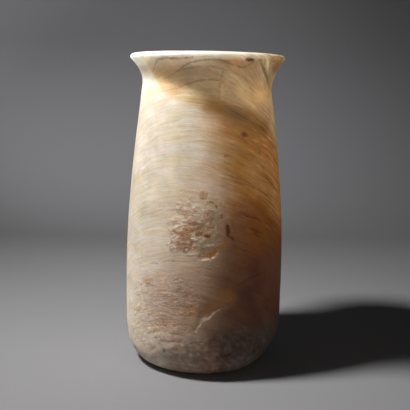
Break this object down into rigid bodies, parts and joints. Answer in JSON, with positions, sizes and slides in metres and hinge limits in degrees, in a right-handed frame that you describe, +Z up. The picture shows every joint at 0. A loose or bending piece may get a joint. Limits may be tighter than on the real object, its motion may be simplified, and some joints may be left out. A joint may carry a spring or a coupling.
{
  "type": "alabaster vase",
  "caption": "Tall hollow stone jar that narrows upwards to a low neck and a flared flat lip, with a rounded foot; worn, chipped and flaked.",
  "frame": {"origin": "middle of the flat underside", "axes": "+Z up along the vase's axis; the front, with the two flake scars, faces -Y; +X is to the right of someone who faces the front"},
  "size_m": [0.1046, 0.1046, 0.2],
  "materials": {
    "alabaster": "cream to warm brown banded alabaster, once polished, now waxy with rough weathered patches"
  },
  "bodies": {
    "root": {"vase": "alabaster"}
  },
  "joints": []
}
